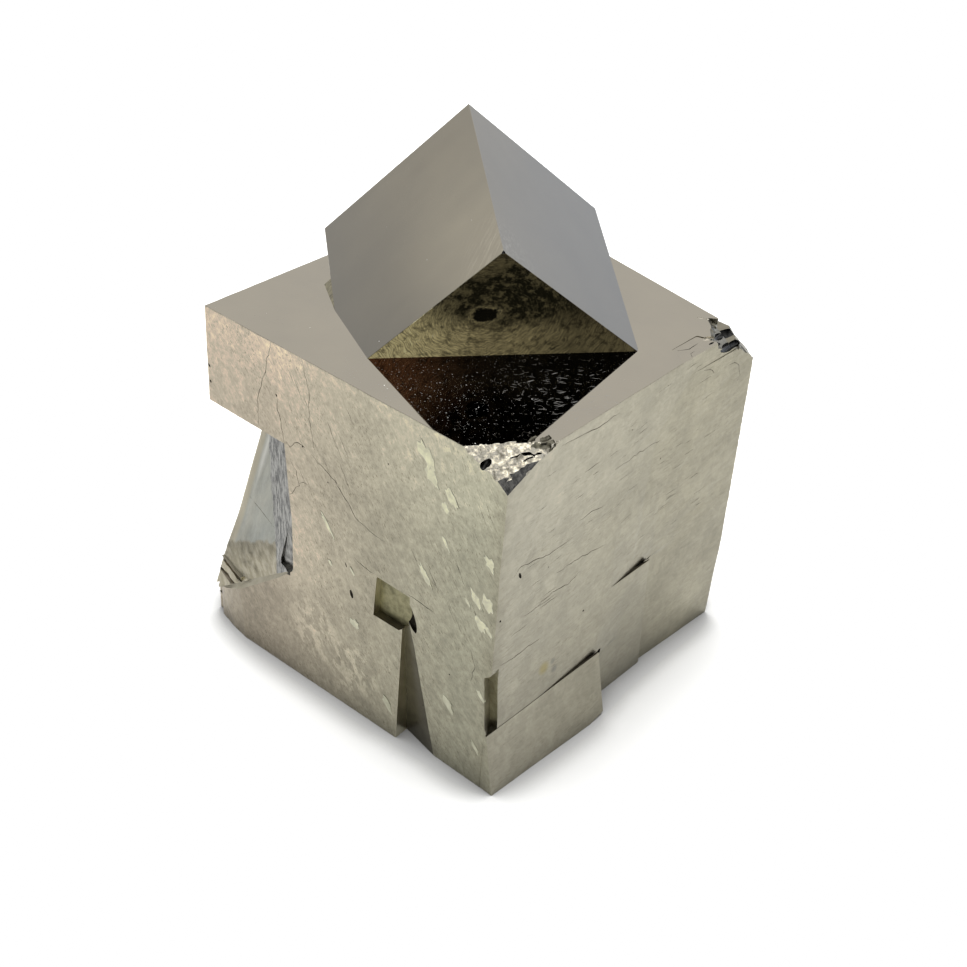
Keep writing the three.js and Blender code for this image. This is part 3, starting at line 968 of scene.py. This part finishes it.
def draw_cracks(side, named, radius):
    for line in named.values():
        draw_tube([on_side(side, *spot) for spot in jagged(line, 0.55, 0.11)], radius)
    count, across, up, way = SHORT_CRACKS[side]
    for _ in range(count):
        start = Vector((random.uniform(*across), random.uniform(*up)))
        end = start + way.normalized() * random.uniform(0.6, 2.8)
        path = jagged([start, end], 0.6, 0.07)
        draw_tube([on_side(side, *spot) for spot in path], random.uniform(0.018, 0.034))


random.seed(4)
for side, named, radius in (
    ("left", LEFT_CRACKS, 0.05), ("right", RIGHT_CRACKS, 0.045),
    ("behind_left", {}, 0.05), ("behind_right", {}, 0.05),
):
    tool = blank("cracks_" + side)
    draw_cracks(side, named, radius)
    change(crystals, tool, "hairline")

# %% [markdown]
# Pits are ico spheres, squashed, leant over and sunk halfway into the side. Nicks along the edges
# are made in the same way, and so is the large cleft over the left block, beside the notch.

# %% Pits and nicks
PITS = {
    "left": [(29.6, 34.1, 0.1, 0.16), (39.75, 33.1, 0.14, 0.24), (39.7, 31.2, 0.12, 0.2),
             (18.4, 15.2, 0.22, 0.5), (22.3, 27.2, 0.07, 0.09), (5.0, 12.6, 0.08, 0.1),
             (19.5, 18.3, 0.08, 0.3), (14.2, 33.6, 0.07, 0.1), (8.2, 6.0, 0.06, 0.08),
             (10.5, 16.9, 0.6, 2.0)],
    "right": [(3.2, 26.6, 0.17, 0.42), (14.4, 15.8, 0.13, 0.13), (0.75, 22.5, 0.12, 0.14),
              (7.6, 25.2, 0.06, 0.08), (25.6, 29.3, 0.07, 0.09), (19.3, 35.6, 0.07, 0.07)],
    "behind_left": [(12.0, 20.0, 0.15, 0.35), (27.0, 30.5, 0.1, 0.12), (31.5, 15.2, 0.12, 0.2)],
    "behind_right": [(14.0, 27.0, 0.14, 0.3), (30.0, 12.5, 0.1, 0.14), (22.5, 34.0, 0.08, 0.1)],
}
PIT_LEAN = 25


def draw_pit(side, u, v, wide, tall):
    out = SIDES[side][0]
    spot = on_side(side, u, v)
    bpy.ops.mesh.primitive_ico_sphere_add(subdivisions=2, radius=MM, location=at(*spot))
    flat = Vector([wide, wide, tall])
    bpy.ops.transform.resize(value=flat, center_override=at(*spot))
    bpy.ops.transform.rotate(
        value=radians(PIT_LEAN), orient_axis="X" if out.x else "Y", center_override=at(*spot),
    )


for side, pits in PITS.items():
    tool = blank("pits_" + side)
    for pit in pits:
        draw_pit(side, *pit)
    change(crystals, tool, "crevice")

# %% [markdown]
# The pale leaves are growth layers, thinner than foil. Each starts as a circle whose points are
# pulled into a leaf along the strokes, and is extruded until it stands just proud of the face.

# %% Leaves on the left face
LEAF_PROUD = 0.015
LEAF_ROOT = 0.2
LEAF_POINTS = 16
LEAVES = [
    (9.5, 36.9, 3.0, 1.5), (8.7, 34.9, 2.4, 1.2), (8.9, 23.1, 2.9, 1.0), (17.6, 11.7, 1.5, 1.2),
    (22.2, 21.7, 3.4, 0.6), (21.7, 17.2, 1.0, 0.5), (18.4, 17.8, 1.6, 0.3), (12.4, 3.6, 2.6, 1.0),
    (6.2, 33.8, 2.6, 1.0), (6.9, 32.3, 1.6, 0.8), (1.2, 29.0, 2.0, 1.0), (2.4, 24.0, 2.4, 0.9),
    (1.1, 24.2, 2.2, 1.3), (1.6, 21.3, 1.8, 1.3), (0.7, 21.1, 1.8, 0.5), (3.4, 23.0, 1.3, 0.4),
    (4.8, 8.4, 2.2, 0.9), (6.6, 28.3, 1.8, 0.5), (0.9, 5.1, 1.8, 0.5), (0.9, 12.4, 1.6, 0.6),
]


def draw_leaf(y, z, length, width):
    """Adds a leaf that lies along the strokes, with an uneven outline and a pointed foot."""
    heading = Vector((0, -sin(STROKE_LEFT), -cos(STROKE_LEFT)))
    aside = Vector((0, cos(STROKE_LEFT), -sin(STROKE_LEFT)))
    middle = on_side("left", y, z) + Vector((LEAF_ROOT, 0, 0))

    def leaf_point(a, b, _):
        uneven = random.uniform(0.65, 1.25)
        narrow = 1 - 0.45 * max(0.0, a)
        return middle + heading * a * length / 2 * uneven + aside * b * width / 2 * uneven * narrow

    bpy.ops.mesh.primitive_circle_add(
        vertices=LEAF_POINTS, radius=MM, fill_type="NGON", location=at(*middle),
    )
    reshape(middle, leaf_point)
    out = Vector((-LEAF_ROOT - LEAF_PROUD, 0, 0)) * MM
    bpy.ops.mesh.extrude_region_move(TRANSFORM_OT_translate={"value": out})
    face_outwards()


tool = blank("leaves")
for leaf in LEAVES:
    draw_leaf(*leaf)
change(crystals, tool, "flake", "UNION")

# %% [markdown]
# Two corners of the top are broken, and show bare, crinkled metal. The tool is a grid laid on the
# break, pushed in and out by folds and small facets, and extruded into a block. The largest break,
# at the front corner, also has a round swirl.

# %% Broken corners
CELL = Vector((31.7, 5.3, 11.9))
SWIRL = Vector((1.6, 2.6, 39.4))
SHELLS_FROM = Vector((41, -4, 42))
BLOCK_DEPTH = 3
BREAKS = {
    "front_break": ((2.3, 1.8, 39.34), (-0.285, -0.36, 0.888), 11, 0.12, 0.2, "broken"),
    "rim_break": ((5.5, 1.2, 39.85), (-0.12, -0.28, 0.95), 2.8, 0.15, 0.05, "chip"),
    "right_break": ((35.9, 0.9, 38.8), (0.36, -0.47, 0.81), 4.8, 0.15, -0.2, "chip"),
    "end_break": ((40.0, 0.9, 37.2), (0.52, -0.48, 0.7), 5, 0.15, 0.1, "chip"),
}


def splinters(spot, size, tilt):
    """Height of small flat facets, each tilted its own way, as on broken metal."""
    centre = noise.voronoi(spot / size)[1][0]
    lean = noise.cell_vector(centre * 7.13 + CELL) - Vector((0.5, 0.5, 0.5))
    return tilt * size * lean.dot(spot / size - centre)


def crinkle(spot):
    ring = (spot - SWIRL).length
    swirl = 0.1 * cos(ring * 2 * pi / 0.75) * exp(-(ring / 1.0) ** 2)
    calm = min(1.0, ring / 1.3)
    folds = 0.2 * (1 - 2 * abs(waves(spot, (2.2, 0.8, 1.2), 7)))
    return folds * calm + splinters(spot, 1.3, 0.35) * calm + splinters(spot + CELL, 0.5, 0.15) + swirl


def shells(spot):
    ring = (spot - SHELLS_FROM).length
    return 0.05 * cos(ring * 2 * pi / 1.4) + splinters(spot, 1.4, 0.15)


def break_block(name, middle, out, size, step, sink, relief):
    """A block whose lower side is broken metal, facing out, sunk a little under its middle."""
    out = Vector(out).normalized()
    tool = blank(name)
    bpy.ops.mesh.primitive_grid_add(
        x_subdivisions=round(size / step), y_subdivisions=round(size / step), size=size * MM,
        location=at(*middle), rotation=out.to_track_quat("Z", "Y").to_euler(),
    )
    cage = bmesh.from_edit_mesh(tool.data)
    for vert in cage.verts:
        vert.co += out * (relief(off_foot(vert.co)) - sink) * MM
    bmesh.update_edit_mesh(tool.data)
    bpy.ops.mesh.extrude_region_move(TRANSFORM_OT_translate={"value": out * BLOCK_DEPTH * MM})
    face_outwards()
    return tool


for name, (middle, out, size, step, sink, finish) in BREAKS.items():
    relief = shells if middle[0] > 20 else crinkle
    change(crystals, break_block(name, middle, out, size, step, sink, relief), finish)

# %% [markdown]
# Fine dark cracks run off from the breaks. They are tubes again, and a stout one opens the dark
# end of the notch.

# %% Cracks in the broken corners
SCARS = [
    ([(2.3, 1.9, 39.35), (2.9, 1.6, 39.4), (3.6, 1.5, 39.5)], 0.1),
    ([(28.6, 1.9, 40.0), (29.9, 1.2, 39.95), (32.4, 1.3, 39.9)], 0.05),
    ([(28.8, 0.1, 39.95), (29.3, 0.6, 39.95), (31.9, 0.7, 39.85)], 0.05),
    ([(0.5, 11.4, 18.4), (0.0, 10.8, 17.6), (-0.1, 10.3, 15.5)], 0.4),
]
tool = blank("scars")
for points, radius in SCARS:
    draw_tube([Vector(point) for point in points], radius, 0.6)
change(crystals, tool, "crevice")

# %% [markdown]
# Metal that breaks without a plane to follow leaves smooth hollows, shaped like lenses; most are
# coloured near-black. Each is a sphere drawn out between two points and sunk halfway into the
# break. The front corner has a hole and two gaping cracks, the right corner several long hollows,
# and the front corner of the small cube a pinprick. A few smaller ones are painted bright inside:
# painted glints.

# %% Hollows
LENS_FACING = Vector((0.4, -0.45, 0.8)).normalized()
HOLLOWS = {
    "lens": [
        ((-0.1, 2.85, 38.95), (0.95, 3.15, 39.4), 0.42, 0.6),
        ((3.4, 1.5, 39.55), (4.85, 0.25, 39.5), 0.17, 0.6),
        ((3.2, 0.95, 39.3), (4.2, 0.45, 39.4), 0.08, 0.5),
        ((32.2, 0.35, 39.85), (35.2, 0.5, 38.95), 0.28, 0.4),
        ((34.6, 1.05, 39.4), (37.9, 1.85, 38.4), 0.4, 0.5),
        ((37.2, 2.4, 37.8), (40.8, 2.1, 37.7), 0.85, 0.6),
        ((34.0, -0.15, 38.75), (39.8, 0.8, 37.2), 0.5, 0.5),
        ((36.6, 3.2, 40), (37.6, 2.3, 39.9), 0.15, 0.2),
        ((11.25, 11.45, 52.8), (11.45, 11.65, 53), 0.22, 0.22),
    ],
    # Painted glints: small hollows that wear the broken finish's painted highlight.
    "broken": [
        ((36.1, 4.3, 40), (36.6, 3.7, 40), 0.13, 0.12),
        ((36.55, 3.5, 40), (36.8, 3.2, 40), 0.12, 0.12),
        ((32.6, 1.3, 40), (34.0, 0.9, 39.75), 0.3, 0.25),
    ],
}


def draw_lens(start, end, wide, deep):
    middle, reach = (Vector(start) + Vector(end)) / 2, (Vector(end) - Vector(start)) / 2
    aside = LENS_FACING.cross(reach).normalized()
    bpy.ops.mesh.primitive_ico_sphere_add(subdivisions=3, radius=MM, location=at(*middle))
    reshape(middle, lambda a, b, c: middle + reach * a + aside * b * wide + LENS_FACING * c * deep)
    face_outwards()


for finish, lenses in HOLLOWS.items():
    tool = blank("hollows_" + finish)
    for lens in lenses:
        draw_lens(*lens)
    change(crystals, tool, finish)

# %% [markdown]
# Faces that carry relief are shaded smooth, and every edge sharper than the relief stays crisp. The
# mirrors and the other flat faces stay flat, or they would bend what they reflect near their edges.

# %% Shading
CRISP = 24
FLAT_KINDS = {
    "top_face", "twin_face", "underside", "shell", "step", "wall", "wedge", "slit", "notch", "tip",
}
only(crystals)
bpy.ops.object.shade_smooth_by_angle(angle=radians(CRISP))
for face in crystals.data.polygons:
    if kinds[face.material_index] in FLAT_KINDS:
        face.use_smooth = False
triangles = sum(len(face.vertices) - 2 for face in crystals.data.polygons)
print("triangles:", triangles)

# %% [markdown]
# ## Studio
# The crystals stand on a white floor under a round soft light. The walls of the studio are drawn
# by the world: pale behind the crystals and dark towards the camera, because that dark side is
# what makes mirror faces read as mirrors. On them lie a warm patch, the ceiling and three lights,
# each with the cosines from its middle at which it starts and is full. To the camera itself the
# surroundings are plain white.

# %% Floor, walls and light
CAMERA_SIDE = (-0.794, -0.607, 0)
WARM_SIDE = (-0.669, -0.743, 0)
WARM_TONE = (0.11, 0.05, 0.035)
COOL_FOOT = (0.97, 1.05, 1.22)
WHITE = (1, 1, 1)
WALL_TONES = ((0.0, 0.48), (0.065, 0.465), (0.235, 0.33), (0.5, 0.12), (0.65, 0.02), (1.0, 0.012))
WALL_LIGHTS = {
    "far window": ((-0.661, -0.516, 0.545), 0.84, 0.95, (0.29, 0.285, 0.27)),
    "ceiling": ((0, 0, 1), 0.92, 0.98, (0.85, 0.85, 0.83)),
    "glint": ((-0.107, 0.940, 0.326), 0.9955, 0.999, (0.6, 0.6, 0.58)),
    "window": ((-0.159, -0.490, 0.857), 0.955, 0.985, (0.62, 0.62, 0.56)),
}
FLOOR_RADIUS = 0.36
FLOOR_DROP = 0.02
FLOOR_SHADE = (0.4, 0.4, 0.4)
FLOOR_WHITE = (0.93, 0.93, 0.93)
CONTACT = 5
LAMP_PLACE, LAMP_RADIUS, LAMP_POWER = (-0.08, 0.04, 1.2), 0.5, 14.5
WHITE_AT = 0.82


def make_floor():
    bpy.ops.mesh.primitive_circle_add(
        vertices=96, radius=FLOOR_RADIUS, fill_type="NGON", location=(0, 0, -FLOOR_DROP * MM),
    )
    floor = bpy.context.object
    floor.name = "floor"
    material = bpy.data.materials.new("white_floor")
    material.use_nodes = True
    tree = material.node_tree
    # Painted contact shadow: the floor is painted darker where ambient occlusion finds the crystals
    # close by.
    open_air = node(tree, "AmbientOcclusion", Distance=CONTACT * MM).outputs["AO"]
    tone = mix(tree, ramp(open_air, 0.45, 0.9), FLOOR_SHADE, FLOOR_WHITE)
    shader = tree.nodes["Principled BSDF"]
    plug(shader, Base_Color=tone, Roughness=1, Specular_IOR_Level=0)
    floor.data.materials.append(material)


def make_walls():
    world = bpy.data.worlds.new("studio")
    bpy.context.scene.world = world
    world.use_nodes = True
    tree = world.node_tree
    way = node(tree, "TexCoord").outputs["Generated"]
    height = node(tree, "SeparateXYZ", Vector=way).outputs["Z"]
    walls = node(tree, "ValToRGB", Fac=ramp(dot(way, CAMERA_SIDE), -1, 1))
    stops = walls.color_ramp.elements
    for place, _ in WALL_TONES[1:-1]:
        stops.new(place)
    for stop, (place, tone) in zip(stops, WALL_TONES):
        stop.position = place
        stop.color = (tone, tone, tone, 1)
    cool = mix(tree, ramp(height, 0.05, 0.25), COOL_FOOT, WHITE)
    light = mix(tree, 1.0, walls.outputs["Color"], cool, "MULTIPLY")
    light = shaded(light, ramp(height, 0, 1, 1, 2))
    warm = ramp(dot(way, WARM_SIDE), 0.976, 0.984)
    light = mix(tree, times(warm, ramp(height, 0.05, 0.1, 1, 0)), light, WARM_TONE)
    for side, starts, full, tone in WALL_LIGHTS.values():
        light = mix(tree, ramp(dot(way, side), starts, full), light, tone)
    seen = node(tree, "LightPath").outputs["Is Camera Ray"]
    plug(tree.nodes["Background"], Color=mix(tree, seen, light, WHITE))


def make_light():
    lamp = bpy.data.lights.new("overhead", "AREA")
    lamp.shape = "DISK"
    lamp.size = 2 * LAMP_RADIUS
    lamp.energy = LAMP_POWER
    light = new_object("overhead", lamp)
    light.location = LAMP_PLACE
    light.rotation_euler = Vector(LAMP_PLACE).to_track_quat("Z", "Y").to_euler()
    light.visible_glossy = False


def brighten_whites():
    """Plain colours, with the top of the scale pushed up so that the white floor reads white."""
    view = bpy.context.scene.view_settings
    view.view_transform = "Standard"
    view.use_curve_mapping = True
    curve = view.curve_mapping.curves[3]
    curve.points.new(0.5, 0.5)
    curve.points.new(WHITE_AT, 1.0)
    for point in curve.points:
        point.handle_type = "VECTOR"
    view.curve_mapping.extend = "HORIZONTAL"
    view.curve_mapping.update()


make_floor()
make_walls()
make_light()
brighten_whites()
print("lamp:", LAMP_POWER, "W")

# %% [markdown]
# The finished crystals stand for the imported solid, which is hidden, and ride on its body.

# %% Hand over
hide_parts("pyrite_cluster")
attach(crystals, "root")
